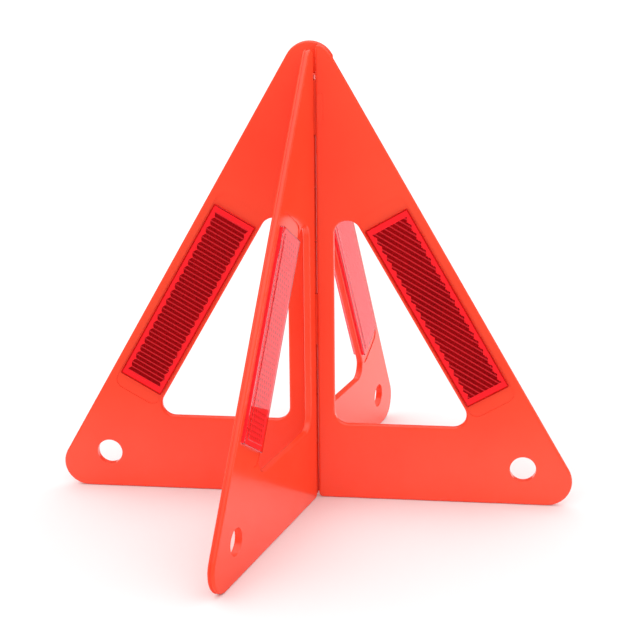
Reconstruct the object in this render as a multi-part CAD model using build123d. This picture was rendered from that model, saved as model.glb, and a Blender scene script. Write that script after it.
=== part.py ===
from build123d import *
import os
from math import cos, radians, sin, sqrt

# Folding warning triangle: four moulded leaves on one upright hinge rod, each a rounded half of an
# equilateral triangle, with a reflector tile on both faces of its sloping rail.
# Millimetres, +Z up. The origin is on the hinge axis, at the height of the surface that it stands on.
# The left and right leaves lie along X. The front and rear leaves cross them at an angle.

# ---- driving dimensions --------------------------------------------------------------------------
SIDE = 236.0              # side of the equilateral outline, between its sharp corners
CORNER_R = 10.5           # radius of the outline's three corners
LEAF_T = 3.0              # thickness of a leaf
LEAF_EDGE_R = 0.9         # rounding along a leaf's edges
FOOT_CORNER_R = 2.0       # corner of a leaf beside the hinge, at its foot
HEAD_CORNER_R = 1.5       # the same at its head
FRONT_HEAD_CORNER_R = 3.0
BRIDGE_FROM = 181.0       # lower edge of the left leaf's head, where it passes over the hinge
BRIDGE_REACH = 9.5        # from the hinge axis to that head's end
BRIDGE_CLEARANCE = 0.5    # between that head and the rear leaf, which is cropped below it
SEAM_WIDTH = 0.7          # shadow line round the middle of a leaf's edge
SEAM_DEPTH = 0.25

AXIS_GAP = 0.15           # from the plane through the hinge axis to the leaf's near face
INNER_EDGE = 2.85         # from the hinge axis to a leaf's inner edge
FRONT_ANGLE = -103.5      # direction of the front leaf, from +X about +Z, as it stands
REAR_ANGLE = 76.5         # direction of the rear leaf, likewise

RAIL_WIDTH = 25.2         # sloping rail, between the outline and the window
POST_WIDTH = 7.05         # upright post beside the hinge
SILL_HEIGHT = 33.5        # bar under the window
WINDOW_R = 5.6            # radius of the window's corners

HOLE_R = 5.5              # peg hole in the outer foot corner
HOLE_REACH = 89.6         # from the hinge axis to the hole's centre
HOLE_HEIGHT = 16.0        # height of the hole's centre

TILE_LENGTH = 86.0        # reflector tile, along the rail
TILE_WIDTH = 19.8
TILE_HEIGHT = 1.9         # from the seat's floor to the raised field
TILE_INSET = 3.9          # from the outline to the tile's long edge
TILE_START = 63.4         # from the outline's sharp foot corner to the tile's lower end
TILE_CORNER_R = 0.6
TILE_EDGE_R = 0.25
FIELD_MARGIN = 2.4        # rim between the tile's edge and its raised prism field
FIELD_RISE = 0.3
LENS_WALL = 1.0           # side wall of the lens, around the backing plate
BACKING_T = 0.7
BACKING_CLEARANCE = 0.1   # between the backing plate and the lens wall

SEAT_DEPTH = 0.3          # shallow recess that a tile is bonded into
SEAT_SIDE_MARGIN = 0.6    # between the tile and the recess, along the long edges
SEAT_END_MARGIN = 6.2     # the same at the ends
SEAT_CORNER_R = 4.0

ROD_R = 1.25              # hinge rod
ROD_RUNNING_CLEARANCE = 0.05
ROD_HEAD_R = 2.2
ROD_HEAD_T = 1.2
CAP_R = 2.2
CAP_T = 1.7
EYE_R = 2.7               # hinge eye round the rod
EYE_LENGTH = 21.8
EYE_WEB_T = 2.1           # web that joins an eye to its leaf
EYE_AXIAL_GAP = 0.3
EYES_FROM = 2.0           # height where the lowest eye starts
EYES_PER_LEAF = 2
PAD_WIDTH = 2.4           # oval pad on the right leaf's outer face, beside its top eye
PAD_LENGTH = 12.0
PAD_RISE = 0.5
PAD_FROM = 3.5            # from the hinge axis to the pad

# ---- derived places ------------------------------------------------------------------------------
HEIGHT = SIDE * sqrt(3) / 2
FAR_FACE = AXIS_GAP + LEAF_T
WINDOW_INNER = INNER_EDGE + POST_WIDTH
EYE_PITCH = EYE_LENGTH + EYE_AXIAL_GAP
LEAF_COUNT = 4
TOP_EYE_END = EYES_FROM + LEAF_COUNT * EYES_PER_LEAF * EYE_PITCH - EYE_AXIAL_GAP

# A leaf is drawn in the XZ plane, reaching along +X from the hinge axis. Its near face is at
# y = -AXIS_GAP and its far face at y = -FAR_FACE.
UP_SLOPE = Vector(-0.5, 0, sqrt(3) / 2)       # along the rail, upwards
OUTWARD = Vector(sqrt(3) / 2, 0, 0.5)         # square to the rail, away from the window
FOOT_POINT = Vector(SIDE / 2, 0, 0)           # the outline's sharp foot corner
TILE_CENTRE = (
    FOOT_POINT
    + UP_SLOPE * (TILE_START + TILE_LENGTH / 2)
    - OUTWARD * (TILE_INSET + TILE_WIDTH / 2)
)


def slab(face, near, far):
    """Solid with the given XZ outline between two distances from the axis plane, towards -Y."""
    return extrude(Plane.XZ.offset(near) * face, far - near)


def corner_beside_hinge(face, place):
    """Lowest (0) or highest (-1) corner on a flat shape's edge beside the hinge."""
    return face.vertices().group_by(Axis.X)[0].sort_by(Axis.Y)[place]


def leaf_outline(head):
    """Right half of the rounded equilateral triangle, cut off beside the hinge.

    A plain head ends beside the hinge, and so does the round one, with a larger corner. A cropped
    head ends below the bridging one, which passes over the hinge to its other side.
    """
    triangle = make_face(Polyline((-SIDE / 2, 0), (SIDE / 2, 0), (0, HEIGHT), close=True))
    triangle = fillet(triangle.vertices(), CORNER_R)
    top = BRIDGE_FROM - BRIDGE_CLEARANCE if head == "cropped" else HEIGHT
    beyond_hinge = Rectangle(SIDE, top, align=(Align.MIN, Align.MIN))
    half = triangle & (Pos(INNER_EDGE, 0) * beyond_hinge)
    half = fillet(corner_beside_hinge(half, 0), FOOT_CORNER_R)
    if head == "bridging":
        over_hinge = Rectangle(
            BRIDGE_REACH + INNER_EDGE, HEIGHT - BRIDGE_FROM, align=(Align.MIN, Align.MIN)
        )
        half += triangle & (Pos(-BRIDGE_REACH, BRIDGE_FROM) * over_hinge)
        under_bridge = half.vertices().sort_by_distance((INNER_EDGE, BRIDGE_FROM))[0]
        half = fillet(under_bridge, HEAD_CORNER_R)
        half = fillet(corner_beside_hinge(half, 0), HEAD_CORNER_R)
    if head == "cropped":
        half = fillet(half.vertices().group_by(Axis.Y)[-1][-1], HEAD_CORNER_R)
    head_r = FRONT_HEAD_CORNER_R if head == "round" else HEAD_CORNER_R
    return fillet(corner_beside_hinge(half, -1), head_r)


def window_outline():
    """Triangle between the post, the sill and the rail, with rounded corners."""
    slope_at_base = SIDE / 2 - RAIL_WIDTH * 2 / sqrt(3)
    outer = slope_at_base - SILL_HEIGHT / sqrt(3)
    top = (slope_at_base - WINDOW_INNER) * sqrt(3)
    corners = [(WINDOW_INNER, SILL_HEIGHT), (outer, SILL_HEIGHT), (WINDOW_INNER, top)]
    window = make_face(Polyline(*corners, close=True))
    return fillet(window.vertices(), WINDOW_R)


def on_rail(shape):
    """Places a flat shape, drawn about its own centre and long in Y, over the tile's place."""
    return Pos(TILE_CENTRE.X, TILE_CENTRE.Z) * Rot(0, 0, 30) * shape


def moulded_plate(head):
    """A leaf without its eyes: the plate with its window, seam, peg hole and the tiles' seats."""
    outline = leaf_outline(head)
    plate = slab(outline - window_outline(), AXIS_GAP, FAR_FACE)
    broad_faces = plate.faces().filter_by(Axis.Y)
    plate = fillet(broad_faces.edges(), LEAF_EDGE_R)
    middle = (AXIS_GAP + FAR_FACE) / 2
    seam_ring = outline - offset(outline, -SEAM_DEPTH)
    plate -= slab(seam_ring, middle - SEAM_WIDTH / 2, middle + SEAM_WIDTH / 2)
    plate -= slab(Pos(HOLE_REACH, HOLE_HEIGHT) * Circle(HOLE_R), 0, FAR_FACE + AXIS_GAP)
    seat = on_rail(
        RectangleRounded(
            TILE_WIDTH + 2 * SEAT_SIDE_MARGIN,
            TILE_LENGTH + 2 * SEAT_END_MARGIN,
            SEAT_CORNER_R,
        )
    )
    plate -= slab(seat, 0, AXIS_GAP + SEAT_DEPTH)
    plate -= slab(seat, FAR_FACE - SEAT_DEPTH, FAR_FACE + AXIS_GAP)
    return plate


def eye_starts(place_in_stack):
    """Heights where a leaf's eyes start, for its place in the repeating stack, 0 at the bottom."""
    return [
        EYES_FROM + (turn * LEAF_COUNT + place_in_stack) * EYE_PITCH for turn in range(EYES_PER_LEAF)
    ]


def make_leaf(place_in_stack, bore_clearance, head, padded):
    """A leaf along +X: the plate, and the eyes that the rod passes through."""
    leaf = moulded_plate(head)
    web_end = INNER_EDGE + 2 * LEAF_EDGE_R
    for start in eye_starts(place_in_stack):
        eye = Pos(0, 0, start) * Cylinder(
            EYE_R, EYE_LENGTH, align=(Align.CENTER, Align.CENTER, Align.MIN)
        )
        web = Pos(0, -AXIS_GAP, start) * Box(
            web_end, EYE_WEB_T, EYE_LENGTH, align=(Align.MIN, Align.MAX, Align.MIN)
        )
        bore = Pos(0, 0, start) * Cylinder(
            ROD_R + bore_clearance, EYE_LENGTH, align=(Align.CENTER, Align.CENTER, Align.MIN)
        )
        leaf = leaf + eye + web - bore
    if padded:
        middle_height = eye_starts(place_in_stack)[-1] + EYE_LENGTH / 2
        pad = Pos(PAD_FROM + PAD_WIDTH / 2, middle_height) * Rot(0, 0, 90) * SlotOverall(
            PAD_LENGTH, PAD_WIDTH
        )
        leaf += slab(pad, FAR_FACE - LEAF_EDGE_R, FAR_FACE + PAD_RISE)
    return leaf


def make_lens():
    """Reflector lens: a shallow tray, open towards the leaf, with a raised prism field.

    It is drawn lying on Z = 0 and long in Y.
    """
    rim_height = TILE_HEIGHT - FIELD_RISE
    lens = extrude(RectangleRounded(TILE_WIDTH, TILE_LENGTH, TILE_CORNER_R), rim_height)
    lens = fillet(lens.faces().sort_by(Axis.Z)[-1].edges(), TILE_EDGE_R)
    field = RectangleRounded(
        TILE_WIDTH - 2 * FIELD_MARGIN, TILE_LENGTH - 2 * FIELD_MARGIN, TILE_CORNER_R
    )
    lens += Pos(0, 0, rim_height) * extrude(field, FIELD_RISE)
    lens = fillet(lens.faces().sort_by(Axis.Z)[-1].edges(), FIELD_RISE / 2)
    cavity = Rectangle(TILE_WIDTH - 2 * LENS_WALL, TILE_LENGTH - 2 * LENS_WALL)
    return lens - extrude(cavity, BACKING_T)


def make_backing():
    """Plate that closes the lens from behind, drawn like the lens."""
    shrink = 2 * (LENS_WALL + BACKING_CLEARANCE)
    return extrude(Rectangle(TILE_WIDTH - shrink, TILE_LENGTH - shrink), BACKING_T)


def seat_place(on_far_face):
    """Turns a tile, drawn on Z = 0, onto one of the leaf's two seats."""
    if on_far_face:
        plane = Plane(
            origin=(TILE_CENTRE.X, -(FAR_FACE - SEAT_DEPTH), TILE_CENTRE.Z),
            x_dir=OUTWARD,
            z_dir=(0, -1, 0),
        )
    else:
        plane = Plane(
            origin=(TILE_CENTRE.X, -(AXIS_GAP + SEAT_DEPTH), TILE_CENTRE.Z),
            x_dir=OUTWARD,
            z_dir=(0, 1, 0),
        )
    return plane.location


def make_rod():
    """Hinge rod, with its formed head under the lowest eye."""
    head_top = EYES_FROM - EYE_AXIAL_GAP
    head = Pos(0, 0, head_top - ROD_HEAD_T) * Cylinder(
        ROD_HEAD_R, ROD_HEAD_T, align=(Align.CENTER, Align.CENTER, Align.MIN)
    )
    head = chamfer(head.edges().group_by(Axis.Z)[0], ROD_HEAD_T / 4)
    shank = Pos(0, 0, head_top - ROD_HEAD_T) * Cylinder(
        ROD_R,
        TOP_EYE_END + EYE_AXIAL_GAP + CAP_T - (head_top - ROD_HEAD_T),
        align=(Align.CENTER, Align.CENTER, Align.MIN),
    )
    return head + shank


def make_cap():
    """Push-on cap that closes the rod above the highest eye."""
    cap = Pos(0, 0, TOP_EYE_END + EYE_AXIAL_GAP) * Cylinder(
        CAP_R, CAP_T, align=(Align.CENTER, Align.CENTER, Align.MIN)
    )
    cap = chamfer(cap.edges().group_by(Axis.Z)[-1], CAP_T / 4)
    return cap - Pos(0, 0, TOP_EYE_END + EYE_AXIAL_GAP) * Cylinder(
        ROD_R, CAP_T, align=(Align.CENTER, Align.CENTER, Align.MIN)
    )


# Each leaf: its direction, its place in the stack of eyes, its clearance on the rod, its head, whether
# it has the oval pad, and whether it is the mirrored moulding. Mirrored leaves pair with plain ones,
# so that near faces fold together in two of the four corners between the leaves.
LEAVES = {
    "front": (FRONT_ANGLE, 0, ROD_RUNNING_CLEARANCE, "round", False, True),
    "left": (180.0, 1, 0.0, "bridging", False, False),
    "rear": (REAR_ANGLE, 2, ROD_RUNNING_CLEARANCE, "cropped", False, True),
    "right": (0.0, 3, ROD_RUNNING_CLEARANCE, "plain", True, False),
}


def model():
    """All the nodes, as a dictionary of name to solid."""
    nodes = {"hinge_rod": make_rod(), "rod_cap": make_cap()}
    lens = make_lens()
    backing = make_backing()
    for name, (angle, place, clearance, head, padded, mirrored) in LEAVES.items():
        pieces = {f"{name}_leaf": make_leaf(place, clearance, head, padded)}
        for face, on_far_face in (("outer", True), ("inner", False)):
            seat = seat_place(on_far_face)
            pieces[f"{name}_{face}_lens"] = seat * lens
            pieces[f"{name}_{face}_backing"] = seat * backing
        for node, solid in pieces.items():
            placed = mirror(solid, Plane.XZ) if mirrored else solid
            nodes[node] = Rot(0, 0, angle) * placed
    return nodes


os.makedirs("parts", exist_ok=True)
for node, solid in model().items():
    solid.label = node
    export_step(solid, f"parts/{node}.step")
    print(node, round(solid.volume, 1))
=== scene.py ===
"""Folding warning triangle: moulded finishes on the CAD model, and clear lenses over cube-corner plates.

Metres, +Z up. The hinge axis is the Z axis and the leaves stand on Z = 0.
"""
from math import cos, radians, sin, sqrt

import bmesh
import bpy
import numpy as np
from mathutils import Matrix, Vector


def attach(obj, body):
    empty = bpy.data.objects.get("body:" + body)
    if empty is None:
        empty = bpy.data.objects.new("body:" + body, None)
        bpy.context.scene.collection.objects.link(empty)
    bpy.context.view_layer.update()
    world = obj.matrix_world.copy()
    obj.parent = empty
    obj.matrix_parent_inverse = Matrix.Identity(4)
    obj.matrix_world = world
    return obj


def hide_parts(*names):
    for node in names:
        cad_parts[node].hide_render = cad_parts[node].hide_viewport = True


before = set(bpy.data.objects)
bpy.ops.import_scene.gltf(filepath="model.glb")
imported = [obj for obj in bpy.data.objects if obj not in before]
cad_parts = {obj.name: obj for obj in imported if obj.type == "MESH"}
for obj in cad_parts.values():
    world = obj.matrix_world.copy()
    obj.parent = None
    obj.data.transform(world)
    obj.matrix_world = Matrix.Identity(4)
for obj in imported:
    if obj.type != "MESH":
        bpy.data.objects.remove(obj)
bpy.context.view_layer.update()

MM = 0.001

# ---- the moulding's driving sizes, as the CAD model has them --------------------------------------
SIDE = 236.0 * MM              # side of the equilateral outline
AXIS_GAP = 0.15 * MM           # from the plane through the hinge axis to a leaf's near face
LEAF_T = 3.0 * MM
SEAT_DEPTH = 0.3 * MM
LEAVES = {                     # direction of each leaf about +Z, and whether it is the mirrored moulding
    "front": (-103.5, True),
    "left": (180.0, False),
    "rear": (76.5, True),
    "right": (0.0, False),
}

TILE_LENGTH = 86.0 * MM
TILE_WIDTH = 19.8 * MM
TILE_HEIGHT = 1.9 * MM         # from the seat's floor to the raised field
TILE_INSET = 3.9 * MM          # from the outline to the tile's long edge
TILE_START = 63.4 * MM         # from the outline's sharp foot corner to the tile's lower end
TILE_CORNER_R = 0.6 * MM
TILE_EDGE_R = 0.25 * MM
FIELD_MARGIN = 2.4 * MM        # rim between the tile's edge and its raised field
FIELD_RISE = 0.3 * MM
BACKING_T = 0.7 * MM

# ---- the reflector's inside, with sizes of the visual model's own ---------------------------------
LENS_WALL = 0.55 * MM          # thinner than the CAD model's, as solid acrylic looks darker than the plate
LENS_CEILING = 1.2 * MM        # height of the lens's flat inner ceiling above its seat
BACKING_CLEARANCE = 0.05 * MM  # between the plate and the lens wall, also less than the CAD model's
BOND_LINE = 0.02 * MM          # between the lens wall and its seat
CUBE_PITCH = 2.0 * MM          # between parallel rows
CUBE_EDGE = CUBE_PITCH * 2 / sqrt(3)
CUBE_RISE = 0.22 * MM
CUBE_ROWS = 20                 # rows each side of the tile's middle
CUBE_HALF_COUNT = 3            # edges each side of the centre line, plus the half that staggers
ROW_HIGHLIGHT_ANGLES = {"front": 30, "left": 90, "rear": 30, "right": 30}   # angle to the tile's length of the rows that carry a painted highlight line
CORNER_ARC = np.radians(np.linspace(0, 90, 5))     # stations round a tile's corner
RIM_ARC = np.radians(np.linspace(0, 90, 4))        # stations over a rounded rim
WALL_UP = 0.1                  # upward part of a normal: a cube's facet has more than this
FLAT_UP = 0.999                # and less than this
WELD_GAP = 0.001 * MM
SLIVER_EDGE = 0.0001 * MM

# ---- finishes; each pair ending in EDGE is where a smooth step starts and where it is full --------
FLOW_SCALE = 18.0              # slow tone, per metre, as are the other scales
PEEL_SCALE = 700.0
HAIR_TURN = (0.3, 0.5, 0.2)    # direction of the scuffs, in radians
HAIR_SCALE = (2600, 2600, 90)  # fine across a scuff and long along it
HAIR_EDGE = (0.66, 0.74)
PATCH_SCALE = 35.0             # patches where the scuffs lie
PATCH_EDGE = (0.52, 0.7)
TONE_EDGE = (0.3, 0.7)

LEAF_LIGHT = (1.0, 0.076, 0.030)
LEAF_DEEP = (1.0, 0.064, 0.024)
LEAF_ROUGHNESS = 0.13
ROD_LIGHT = (0.85, 0.04, 0.006)
ROD_DEEP = (0.8, 0.03, 0.005)
ROD_ROUGHNESS = 0.22
PLASTIC_IOR = 1.5
SCUFF_ROUGHNESS = 0.1
TONE_ROUGHNESS = 0.06
PEEL_DEPTH = 0.004 * MM
SCUFF_DEPTH = -0.1             # share of the peel's depth, as are the next two
RING_DEPTH = -2.0
DISC_DEPTH = -1.0
PIN_REACH = 67 * MM            # ejector pin's circle, from the hinge axis
PIN_HEIGHT = 19 * MM
PIN_RADIUS = 7.5 * MM
PIN_LINE = 0.45 * MM           # from the middle of the circle's line to where it has faded
PIN_STEP = 0.2 * MM            # half the width of the disc's soft edge

ACRYLIC_DEEP = (1.0, 0.36, 0.4)
ACRYLIC_LIGHT = (1.0, 0.40, 0.44)
ACRYLIC_SHEEN = (1.0, 0.5, 0.52)
ACRYLIC_IOR = 1.35             # lower than real acrylic's, chosen for its look
ACRYLIC_FLOW_SCALE = 60.0
ACRYLIC_SCUFF_ROUGHNESS = 0.12

BACKING_BRIGHT = (1.0, 0.08, 0.10)
BACKING_ROUGHNESS = 0.4
BACKING_PEEL_ROUGHNESS = 0.1
BACKING_PEEL_DEPTH = 0.003 * MM
BACKING_SPECULAR = 0.1
CUBE_DEEP = (0.18, 0.002, 0.005)
CUBE_LIGHT = (0.36, 0.004, 0.010)
# painted highlight line along each row of cubes, standing in for light off one family of facets
PAINTED_ROW_HIGHLIGHT = (0.6, 0.08, 0.10)
CUBE_GLOW = 0.4                # stands in for the light that the cubes return
ROW_HIGHLIGHT_EDGE = (0.2, 0.06)        # distance from a whole row, in rows, over which the painted highlight line fades
# facing over which the painted reflection comes in, making the cubes bright when seen aslant
ASLANT_REFLECTION_EDGE = (0.28, 0.5)

# ---- studio sizes and light -----------------------------------------------------------------------
FLOOR_HALF = 12.0
FLOOR_DROP = 0.05 * MM
FLOOR_PALE = (0.92, 0.92, 0.92)
FLOOR_DARK = (0.12, 0.12, 0.12)
FLOOR_EDGE = (-0.16, -0.02)    # in Y
CEILING_EDGE = (sin(radians(22)), sin(radians(48)))   # upward part of a direction
MIRRORED_WALLS = 0.12          # room's strength for mirrored rays
MIRRORED_CEILING = 1.8         # what the ceiling adds to it
EVEN_WALLS = 1.25              # the same for rays that light matt surfaces
EVEN_CEILING = 0.45
SEEN_ROOM = 1.0
LIGHT_BOUNCES = 24


# ---- materials ------------------------------------------------------------------------------------
def new_material(name):
    """An empty node material, its tree and its Principled shader."""
    material = bpy.data.materials.new(name)
    material.use_nodes = True
    tree = material.node_tree
    tree.nodes.clear()
    shader = tree.nodes.new("ShaderNodeBsdfPrincipled")
    output = tree.nodes.new("ShaderNodeOutputMaterial")
    tree.links.new(shader.outputs["BSDF"], output.inputs["Surface"])
    return material, tree, shader


def new_group(name, inputs, outputs):
    """A node group with the given float or vector inputs and float outputs."""
    group = bpy.data.node_groups.new(name, "ShaderNodeTree")
    for socket, kind, value in inputs:
        made = group.interface.new_socket(socket, in_out="INPUT", socket_type=kind)
        if value is not None:
            made.default_value = value
    for socket in outputs:
        group.interface.new_socket(socket, in_out="OUTPUT", socket_type="NodeSocketFloat")
    return group, group.nodes.new("NodeGroupInput"), group.nodes.new("NodeGroupOutput")


def math_node(tree, operation, a, b=None, c=None):
    """A Math node; each operand is a number or a socket. Returns its output."""
    node = tree.nodes.new("ShaderNodeMath")
    node.operation = operation
    for place, operand in enumerate((a, b, c)):
        if operand is None:
            continue
        if isinstance(operand, (int, float)):
            node.inputs[place].default_value = operand
        else:
            tree.links.new(operand, node.inputs[place])
    return node.outputs[0]


def noise(tree, vector, scale, detail):
    """Noise over a vector socket, from 0 to 1."""
    node = tree.nodes.new("ShaderNodeTexNoise")
    node.inputs["Detail"].default_value = detail
    tree.links.new(vector, node.inputs["Vector"])
    if isinstance(scale, (int, float)):
        node.inputs["Scale"].default_value = scale
    else:
        tree.links.new(scale, node.inputs["Scale"])
    return node.outputs["Fac"]


def step_between(tree, value, low, high):
    """0 below low and 1 above high, smooth in between."""
    node = tree.nodes.new("ShaderNodeMapRange")
    node.interpolation_type = "SMOOTHSTEP"
    node.inputs["From Min"].default_value = low
    node.inputs["From Max"].default_value = high
    tree.links.new(value, node.inputs["Value"])
    return node.outputs["Result"]


def blend_colours(tree, factor, first, second):
    """Colour between two, by a factor socket."""
    node = tree.nodes.new("ShaderNodeMix")
    node.data_type = "RGBA"
    tree.links.new(factor, node.inputs["Factor"])
    for socket, colour in (("A", first), ("B", second)):
        target = [s for s in node.inputs if s.name == socket and s.type == "RGBA"][0]
        if isinstance(colour, tuple):
            target.default_value = (*colour, 1)
        else:
            tree.links.new(colour, target)
    return [s for s in node.outputs if s.type == "RGBA"][0]


def blend_values(tree, factor, first, second):
    """Number between two, by a factor socket held to 0 to 1."""
    node = tree.nodes.new("ShaderNodeMix")
    node.data_type = "FLOAT"
    tree.links.new(factor, node.inputs["Factor"])
    for socket, value in (("A", first), ("B", second)):
        target = [s for s in node.inputs if s.name == socket and s.type == "VALUE"][0]
        if isinstance(value, (int, float)):
            target.default_value = value
        else:
            tree.links.new(value, target)
    return [s for s in node.outputs if s.type == "VALUE"][0]


def moulded_surface_group():
    """Slow tone of the melt's flow, fine orange peel and light handling scuffs.

    Tone, Scuff and Peel are each from 0 to 1.
    """
    group, start, end = new_group(
        "moulded_surface",
        [("Vector", "NodeSocketVector", None), ("Flow Scale", "NodeSocketFloat", FLOW_SCALE),
         ("Peel Scale", "NodeSocketFloat", PEEL_SCALE)],
        ["Tone", "Scuff", "Peel"],
    )
    vector = start.outputs["Vector"]
    tone = noise(group, vector, start.outputs["Flow Scale"], 3)
    peel = noise(group, vector, start.outputs["Peel Scale"], 2)
    stretched = group.nodes.new("ShaderNodeMapping")
    stretched.inputs["Rotation"].default_value = HAIR_TURN
    stretched.inputs["Scale"].default_value = HAIR_SCALE
    group.links.new(vector, stretched.inputs["Vector"])
    hair = step_between(group, noise(group, stretched.outputs[0], 1.0, 1), *HAIR_EDGE)
    where = step_between(group, noise(group, vector, PATCH_SCALE, 2), *PATCH_EDGE)
    scuff = math_node(group, "MULTIPLY", hair, where)
    for name, socket in (("Tone", tone), ("Scuff", scuff), ("Peel", peel)):
        group.links.new(socket, end.inputs[name])
    return group


def ring_mark_group():
    """Faint circle that an ejector pin leaves, at a reach from the hinge axis and a height.

    A point's distance is the root of the squared differences in reach and in height, less the radius.
    Ring is 1 where that is nothing and fades on both sides, and Disc is 1 where it is negative.
    """
    group, start, end = new_group(
        "ring_mark",
        [("Vector", "NodeSocketVector", None), ("Reach", "NodeSocketFloat", 0.0),
         ("Height", "NodeSocketFloat", 0.0), ("Radius", "NodeSocketFloat", 0.0)],
        ["Ring", "Disc"],
    )
    split = group.nodes.new("ShaderNodeSeparateXYZ")
    group.links.new(start.outputs["Vector"], split.inputs[0])
    across = math_node(group, "POWER", split.outputs["X"], 2.0)
    along = math_node(group, "POWER", split.outputs["Y"], 2.0)
    reach = math_node(group, "SQRT", math_node(group, "ADD", across, along))
    dx = math_node(group, "SUBTRACT", reach, start.outputs["Reach"])
    dz = math_node(group, "SUBTRACT", split.outputs["Z"], start.outputs["Height"])
    squares = math_node(
        group, "ADD", math_node(group, "POWER", dx, 2.0), math_node(group, "POWER", dz, 2.0)
    )
    distance = math_node(group, "SUBTRACT", math_node(group, "SQRT", squares), start.outputs["Radius"])
    line = step_between(group, math_node(group, "ABSOLUTE", distance), PIN_LINE, 0.0)
    group.links.new(line, end.inputs["Ring"])
    group.links.new(step_between(group, distance, PIN_STEP, -PIN_STEP), end.inputs["Disc"])
    return group


def use_group(tree, group, **values):
    """A group placed in a material. Values are numbers or sockets, by input name with _ for a space."""
    node = tree.nodes.new("ShaderNodeGroup")
    node.node_tree = group
    for name, value in values.items():
        socket = node.inputs[name.replace("_", " ")]
        if isinstance(value, (int, float)):
            socket.default_value = value
        else:
            tree.links.new(value, socket)
    return node


def object_coordinates(tree):
    """Position on a piece, in the shared frame."""
    return tree.nodes.new("ShaderNodeTexCoord").outputs["Object"]


def attribute(tree, name):
    """A mesh attribute's value."""
    node = tree.nodes.new("ShaderNodeAttribute")
    node.attribute_name = name
    return node.outputs["Fac"]


def bump(tree, height, depth):
    """Normal of a surface raised by height times depth metres."""
    node = tree.nodes.new("ShaderNodeBump")
    node.inputs["Strength"].default_value = 1.0
    node.inputs["Distance"].default_value = depth
    tree.links.new(height, node.inputs["Height"])
    return node.outputs["Normal"]


def moulded_plastic(name, light, deep, roughness, surface, ring=None):
    """Glossy moulded plastic: two close tones, orange peel, scuffs and, on a leaf, the pin's circle."""
    material, tree, shader = new_material(name)
    place = object_coordinates(tree)
    finish = use_group(tree, surface, Vector=place)
    tone = step_between(tree, finish.outputs["Tone"], *TONE_EDGE)
    colour = blend_colours(tree, tone, deep, light)
    rough = math_node(tree, "MULTIPLY_ADD", finish.outputs["Scuff"], SCUFF_ROUGHNESS, roughness)
    rough = math_node(tree, "MULTIPLY_ADD", finish.outputs["Tone"], TONE_ROUGHNESS, rough)
    height = math_node(tree, "MULTIPLY_ADD", finish.outputs["Scuff"], SCUFF_DEPTH, finish.outputs["Peel"])
    if ring:
        mark = use_group(
            tree, ring, Vector=place, Reach=PIN_REACH, Height=PIN_HEIGHT, Radius=PIN_RADIUS
        )
        height = math_node(tree, "MULTIPLY_ADD", mark.outputs["Ring"], RING_DEPTH, height)
        height = math_node(tree, "MULTIPLY_ADD", mark.outputs["Disc"], DISC_DEPTH, height)
    tree.links.new(colour, shader.inputs["Base Color"])
    tree.links.new(rough, shader.inputs["Roughness"])
    tree.links.new(bump(tree, height, PEEL_DEPTH), shader.inputs["Normal"])
    shader.inputs["IOR"].default_value = PLASTIC_IOR
    return material


def lens_acrylic(surface):
    """Clear red acrylic, faintly uneven where it flowed."""
    material, tree, shader = new_material("reflector_acrylic")
    place = object_coordinates(tree)
    finish = use_group(tree, surface, Vector=place, Flow_Scale=ACRYLIC_FLOW_SCALE)
    colour = blend_colours(tree, finish.outputs["Tone"], ACRYLIC_DEEP, ACRYLIC_LIGHT)
    rough = math_node(tree, "MULTIPLY", finish.outputs["Scuff"], ACRYLIC_SCUFF_ROUGHNESS)
    tree.links.new(colour, shader.inputs["Base Color"])
    tree.links.new(rough, shader.inputs["Roughness"])
    shader.inputs["IOR"].default_value = ACRYLIC_IOR
    shader.inputs["Transmission Weight"].default_value = 1.0
    shader.inputs["Specular Tint"].default_value = (*ACRYLIC_SHEEN, 1)
    return material


def backing_plastic(surface):
    """Red plate behind the lens: bright border, deep cubes, and a painted highlight line along each row.

    A painted highlight line's strength falls with the distance to the nearest whole row. Seen aslant, the
    cubes turn as bright as the border, a painted reflection. The plate also glows with its own colour,
    painted light that stands in for the light that the cubes return.
    """
    material, tree, shader = new_material("reflector_backing_plastic")
    finish = use_group(tree, surface, Vector=object_coordinates(tree))
    facet = attribute(tree, "facet")
    # painted highlight: a light line along each row of cubes
    off_highlight = math_node(tree, "PINGPONG", attribute(tree, "row"), 0.5)
    line = step_between(tree, off_highlight, *ROW_HIGHLIGHT_EDGE)
    deep = blend_colours(tree, finish.outputs["Tone"], CUBE_DEEP, CUBE_LIGHT)
    cube = blend_colours(tree, line, deep, PAINTED_ROW_HIGHLIGHT)
    # painted reflection: seen aslant, the cubes turn as bright as the border
    facing = tree.nodes.new("ShaderNodeLayerWeight").outputs["Facing"]
    cube = blend_colours(tree, step_between(tree, facing, *ASLANT_REFLECTION_EDGE), cube, BACKING_BRIGHT)
    colour = blend_colours(tree, facet, BACKING_BRIGHT, cube)
    tree.links.new(colour, shader.inputs["Base Color"])
    # painted glow: the plate emits its own colour, standing in for the light that the cubes return
    tree.links.new(colour, shader.inputs["Emission Color"])
    shader.inputs["Emission Strength"].default_value = CUBE_GLOW
    peel = finish.outputs["Peel"]
    rough = math_node(tree, "MULTIPLY_ADD", peel, BACKING_PEEL_ROUGHNESS, BACKING_ROUGHNESS)
    tree.links.new(rough, shader.inputs["Roughness"])
    tree.links.new(bump(tree, peel, BACKING_PEEL_DEPTH), shader.inputs["Normal"])
    shader.inputs["Specular IOR Level"].default_value = BACKING_SPECULAR
    return material


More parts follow.
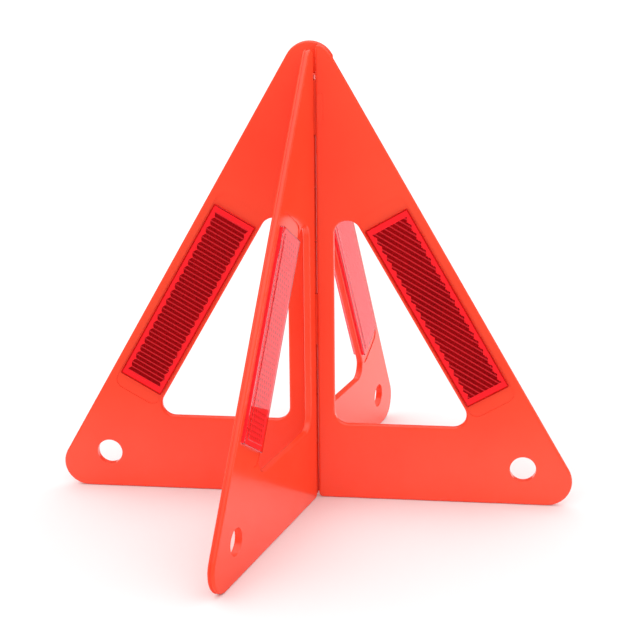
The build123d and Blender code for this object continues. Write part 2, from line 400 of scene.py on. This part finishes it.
# ---- reflectors -----------------------------------------------------------------------------------
def tile_ring(inset, corner_r, height):
    """One loop of a reflector: the tile's rectangle, inset and with rounded corners, at a height.

    The long edges have a station at each row of cubes, the short ones at each column, and each corner
    has one for each angle in CORNER_ARC: its centre plus its radius times the angle's cosine and sine.
    Points run anticlockwise from the first row of the edge at -width.
    """
    rows, columns, _ = cube_stations()
    half_length, half_width = TILE_LENGTH / 2 - inset, TILE_WIDTH / 2 - inset
    inner_l, inner_w = half_length - corner_r, half_width - corner_r
    u = np.clip(rows, -inner_l, inner_l)
    v = np.clip(columns, -inner_w, inner_w)
    edges = [
        np.column_stack([u, np.full_like(u, -half_width)]),
        np.column_stack([np.full_like(v, half_length), v]),
        np.column_stack([u[::-1], np.full_like(u, half_width)]),
        np.column_stack([np.full_like(v, -half_length), v[::-1]]),
    ]
    corners = [(inner_l, -inner_w), (inner_l, inner_w), (-inner_l, inner_w), (-inner_l, -inner_w)]
    loop = []
    for turn, (edge, corner) in enumerate(zip(edges, corners)):
        angle = CORNER_ARC + radians(90) * (turn - 1)
        bend = corner + corner_r * np.column_stack([np.cos(angle), np.sin(angle)])
        loop += [edge, bend]
    flat = np.vstack(loop)
    return np.column_stack([flat, np.full(len(flat), height)])


def cube_stations():
    """Rows and columns where the cubes' outline has its corners, and how far out each row reaches."""
    rows = np.arange(-CUBE_ROWS, CUBE_ROWS + 1)
    reach = CUBE_EDGE * (CUBE_HALF_COUNT + 0.5 * (rows % 2 == 0))
    end_reach = reach[0]
    columns = np.arange(-end_reach + CUBE_EDGE, end_reach - CUBE_EDGE / 2, CUBE_EDGE)
    return rows * CUBE_PITCH, columns, reach


def cube_field(base, tip):
    """Cube corners: three facets per triangle of a lattice, rising from its lines to a tip.

    The lattice's rows are CUBE_PITCH apart, with points CUBE_EDGE apart, staggered by half. Each tip
    is over its triangle's middle. Returns the vertices and the triangles.
    """
    u, _, reach = cube_stations()
    points, triangles = [], []
    starts, counts = [], []
    for place, half in zip(u, reach):
        v = np.arange(-half, half + CUBE_EDGE / 4, CUBE_EDGE)
        starts.append(sum(counts))
        counts.append(len(v))
        points.append(np.column_stack([np.full_like(v, place), v, np.full_like(v, base)]))
    for row in range(len(u) - 1):
        a, b = starts[row], starts[row + 1]
        wide, narrow = (a, b) if counts[row] > counts[row + 1] else (b, a)
        k = np.arange(min(counts[row], counts[row + 1]))
        based_on_wide = np.column_stack([wide + k, wide + k + 1, narrow + k])
        based_on_narrow = np.column_stack([narrow + k[:-1], narrow + k[:-1] + 1, wide + k[:-1] + 1])
        if wide == a:
            based_on_narrow = based_on_narrow[:, [1, 0, 2]]
        else:
            based_on_wide = based_on_wide[:, [1, 0, 2]]
        triangles += [based_on_wide, based_on_narrow]
    points = np.vstack(points)
    triangles = np.vstack(triangles)
    tips = points[triangles].mean(axis=1)
    tips[:, 2] = tip
    centre = len(points) + np.arange(len(triangles))
    faces = np.vstack([
        np.column_stack([triangles[:, i], triangles[:, (i + 1) % 3], centre]) for i in range(3)
    ])
    return np.vstack([points, tips]), faces


def skin_of(loops, capped):
    """Quads between each loop and the next, with a flat cap on the first if capped, and on the last."""
    count = len(loops[0])
    here = np.arange(count)
    after = (here + 1) % count
    quads = np.vstack([
        np.column_stack([here, after, after + count, here + count]) + k * count
        for k in range(len(loops) - 1)
    ])
    caps = [((len(loops) - 1) * count + here).tolist()]
    if capped:
        caps.append(here[::-1].tolist())
    return np.vstack(loops), quads.tolist() + caps


def lens_shape():
    """A whole lens as vertices and faces, lying on Z = 0 and long in X: a clear tray, open below.

    Loops of rounded rectangles are joined into a skin: from the flat inner ceiling down the tray's
    inner wall, out under the wall, up the side, over the quarter-round rim, up the field's
    quarter-round edge and onto the raised field, which one flat face closes.
    """
    rim = TILE_HEIGHT - FIELD_RISE
    rise_r = FIELD_RISE / 2
    loops = [tile_ring(LENS_WALL, 0, LENS_CEILING), tile_ring(LENS_WALL, 0, BOND_LINE)]
    loops.append(tile_ring(0, TILE_CORNER_R, BOND_LINE))
    for angle in RIM_ARC:
        inset = TILE_EDGE_R * (1 - cos(angle))
        loops.append(tile_ring(inset, TILE_CORNER_R - inset, rim - TILE_EDGE_R * (1 - sin(angle))))
    loops.append(tile_ring(FIELD_MARGIN, TILE_CORNER_R, rim))
    for angle in RIM_ARC:
        inset = rise_r * (1 - cos(angle))
        height = TILE_HEIGHT - rise_r * (1 - sin(angle))
        loops.append(tile_ring(FIELD_MARGIN + inset, TILE_CORNER_R - inset, height))
    return skin_of(loops, True)


def backing_shape():
    """A backing plate as vertices and faces, lying on Z = 0 and long in X, with cube corners on top.

    Its flat border runs out from the cubes' toothed outline to the plate's edge, then down to the
    underside, which one flat face closes.
    """
    rows, columns, reach = cube_stations()
    end = rows[-1]
    side = np.column_stack([rows, -reach])
    corner = np.tile([[end, -reach[-1]]], (len(CORNER_ARC), 1))
    short = np.column_stack([np.full_like(columns, end), columns])
    half = np.vstack([side, corner, short, corner * [1, -1]])
    toothed = np.column_stack([np.vstack([half, -half]), np.full(2 * len(half), BACKING_T)])
    inset = LENS_WALL + BACKING_CLEARANCE
    edge = [tile_ring(inset, 0, height) for height in (BACKING_T, 0)]
    points, faces = skin_of([toothed] + edge, False)
    cubes, cube_faces = cube_field(BACKING_T, BACKING_T + CUBE_RISE)
    return np.vstack([points, cubes]), faces + (cube_faces + len(points)).tolist()


def tile_matrix(leaf, face):
    """Where a lens goes: X along the rail, Y across it and Z out of the leaf, in the shared frame."""
    angle, mirrored = LEAVES[leaf]
    up_slope = Vector((-0.5, 0, sqrt(3) / 2))
    outward = Vector((sqrt(3) / 2, 0, 0.5))
    centre = (
        Vector((SIDE / 2, 0, 0))
        + up_slope * (TILE_START + TILE_LENGTH / 2)
        - outward * (TILE_INSET + TILE_WIDTH / 2)
    )
    if face == "outer":
        centre.y, normal = -(AXIS_GAP + LEAF_T - SEAT_DEPTH), Vector((0, -1, 0))
    else:
        centre.y, normal = -(AXIS_GAP + SEAT_DEPTH), Vector((0, 1, 0))
    if mirrored:
        centre.y, normal = -centre.y, -normal
    across = normal.cross(up_slope)
    local = Matrix((up_slope, across, normal)).transposed().to_4x4()
    local.translation = centre
    return Matrix.Rotation(radians(angle), 4, "Z") @ local


def make_piece(leaf, face, kind, part, shape, material):
    """A lens or a backing as a closed mesh in its place, riding on its leaf.

    kind is the last part of the piece's name, and part that of the CAD node it replaces.
    """
    points, faces = shape
    mesh = bpy.data.meshes.new(f"{leaf}_{face}_{kind}")
    mesh.from_pydata(points.tolist(), [], faces)
    work = bmesh.new()
    work.from_mesh(mesh)
    bmesh.ops.remove_doubles(work, verts=work.verts, dist=WELD_GAP)
    bmesh.ops.dissolve_degenerate(work, edges=work.edges, dist=SLIVER_EDGE)
    bmesh.ops.recalc_face_normals(work, faces=work.faces)
    work.to_mesh(mesh)
    work.free()
    if part == "backing":
        mark_rows(mesh, ROW_HIGHLIGHT_ANGLES[leaf])
    mesh.transform(tile_matrix(leaf, face))
    piece = bpy.data.objects.new(mesh.name, mesh)
    bpy.context.scene.collection.objects.link(piece)
    mesh.materials.append(material)
    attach(piece, f"{leaf}_leaf")
    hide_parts(f"{leaf}_{face}_{part}")


def mark_rows(mesh, row_angle):
    """Two attributes: facet is 1 on the cubes' facets, and row counts the rows across a point.

    A point's row is its distance square to the rows' direction, over their pitch.
    """
    normals = np.empty(len(mesh.polygons) * 3)
    mesh.polygons.foreach_get("normal", normals)
    leaning = (normals[2::3] > WALL_UP) & (normals[2::3] < FLAT_UP)
    facet = mesh.attributes.new("facet", "FLOAT", "FACE")
    facet.data.foreach_set("value", leaning.astype(float))
    points = np.empty(len(mesh.vertices) * 3)
    mesh.vertices.foreach_get("co", points)
    across = points[1::3] * cos(radians(row_angle)) - points[0::3] * sin(radians(row_angle))
    row = mesh.attributes.new("row", "FLOAT", "POINT")
    row.data.foreach_set("value", across / CUBE_PITCH)


# ---- finishes of the CAD nodes --------------------------------------------------------------------
def finish_node(name, material):
    """Gives a CAD node its material."""
    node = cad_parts[name]
    node.data.materials.clear()
    node.data.materials.append(material)


surface = moulded_surface_group()
leaf_plastic = moulded_plastic(
    "leaf_orange_plastic", LEAF_LIGHT, LEAF_DEEP, LEAF_ROUGHNESS, surface, ring_mark_group()
)
rod_plastic = moulded_plastic("rod_orange_plastic", ROD_LIGHT, ROD_DEEP, ROD_ROUGHNESS, surface)
acrylic = lens_acrylic(surface)
backing = backing_plastic(surface)

lens, plate = lens_shape(), backing_shape()
for leaf in LEAVES:
    finish_node(f"{leaf}_leaf", leaf_plastic)
    for face in ("outer", "inner"):
        make_piece(leaf, face, "clear_lens", "lens", lens, acrylic)
        make_piece(leaf, face, "cube_backing", "backing", plate, backing)
for node in ("hinge_rod", "rod_cap"):
    finish_node(node, rod_plastic)


# ---- studio ---------------------------------------------------------------------------------------
def make_floor():
    """A wide pale floor. Seen by reflection, it darkens towards the front, where the studio ends."""
    mesh = bpy.data.meshes.new("floor")
    half, low = FLOOR_HALF, -FLOOR_DROP
    mesh.from_pydata(
        [(-half, -half, low), (half, -half, low), (half, half, low), (-half, half, low)],
        [], [(0, 1, 2, 3)],
    )
    material, tree, shader = new_material("floor_paper")
    split = tree.nodes.new("ShaderNodeSeparateXYZ")
    tree.links.new(object_coordinates(tree), split.inputs[0])
    depth = step_between(tree, split.outputs["Y"], *FLOOR_EDGE)
    path = tree.nodes.new("ShaderNodeLightPath")
    glossy = math_node(tree, "LESS_THAN", path.outputs["Diffuse Depth"], 0.5)
    unseen = math_node(tree, "SUBTRACT", 1.0, path.outputs["Is Camera Ray"])
    glossy = math_node(tree, "MULTIPLY", glossy, unseen)
    dark = math_node(tree, "MULTIPLY", glossy, math_node(tree, "SUBTRACT", 1.0, depth))
    colour = blend_colours(tree, dark, FLOOR_PALE, FLOOR_DARK)
    tree.links.new(colour, shader.inputs["Base Color"])
    shader.inputs["Roughness"].default_value = 1.0
    shader.inputs["Specular IOR Level"].default_value = 0.0
    mesh.materials.append(material)
    floor = bpy.data.objects.new("floor", mesh)
    bpy.context.scene.collection.objects.link(floor)


def make_light():
    """Even soft light. Seen by reflection, the room is a white ceiling over dim walls."""
    world = bpy.data.worlds.new("studio")
    bpy.context.scene.world = world
    world.use_nodes = True
    world.cycles.sampling_method = "NONE"
    tree = world.node_tree
    tree.nodes.clear()
    direction = tree.nodes.new("ShaderNodeTexCoord").outputs["Generated"]
    split = tree.nodes.new("ShaderNodeSeparateXYZ")
    tree.links.new(direction, split.inputs[0])
    path = tree.nodes.new("ShaderNodeLightPath")
    ceiling = step_between(tree, split.outputs["Z"], *CEILING_EDGE)
    mirrored = math_node(tree, "MULTIPLY_ADD", ceiling, MIRRORED_CEILING, MIRRORED_WALLS)
    even = math_node(tree, "MULTIPLY_ADD", ceiling, EVEN_CEILING, EVEN_WALLS)
    lit = blend_values(tree, path.outputs["Diffuse Depth"], mirrored, even)
    strength = blend_values(tree, path.outputs["Is Camera Ray"], lit, SEEN_ROOM)
    background = tree.nodes.new("ShaderNodeBackground")
    tree.links.new(strength, background.inputs["Strength"])
    output = tree.nodes.new("ShaderNodeOutputWorld")
    tree.links.new(background.outputs[0], output.inputs["Surface"])


def make_camera():
    """Long lens, a little above and to the right of the right leaf's front."""
    azimuth, elevation, roll = radians(7.17), radians(15.96), radians(-0.51)
    distance = 651.3 * MM
    aside, above = 2.87 * MM, 75.27 * MM
    right = Vector((cos(azimuth), sin(azimuth), 0))
    back = Vector((sin(azimuth) * cos(elevation), -cos(azimuth) * cos(elevation), sin(elevation)))
    up = back.cross(right)
    tilted_right = right * cos(roll) + up * sin(roll)
    tilted_up = up * cos(roll) - right * sin(roll)
    data = bpy.data.cameras.new("camera")
    data.sensor_width = 36.0
    data.lens = 84.5
    data.clip_start = 0.01
    camera = bpy.data.objects.new("camera", data)
    bpy.context.scene.collection.objects.link(camera)
    turn = Matrix((tilted_right, tilted_up, back)).transposed().to_4x4()
    turn.translation = back * distance + tilted_right * aside + tilted_up * above
    camera.matrix_world = turn
    bpy.context.scene.camera = camera


make_floor()
make_light()
make_camera()
bpy.context.scene.view_settings.view_transform = "Standard"
for kind in ("max_bounces", "transmission_bounces", "glossy_bounces"):
    setattr(bpy.context.scene.cycles, kind, LIGHT_BOUNCES)
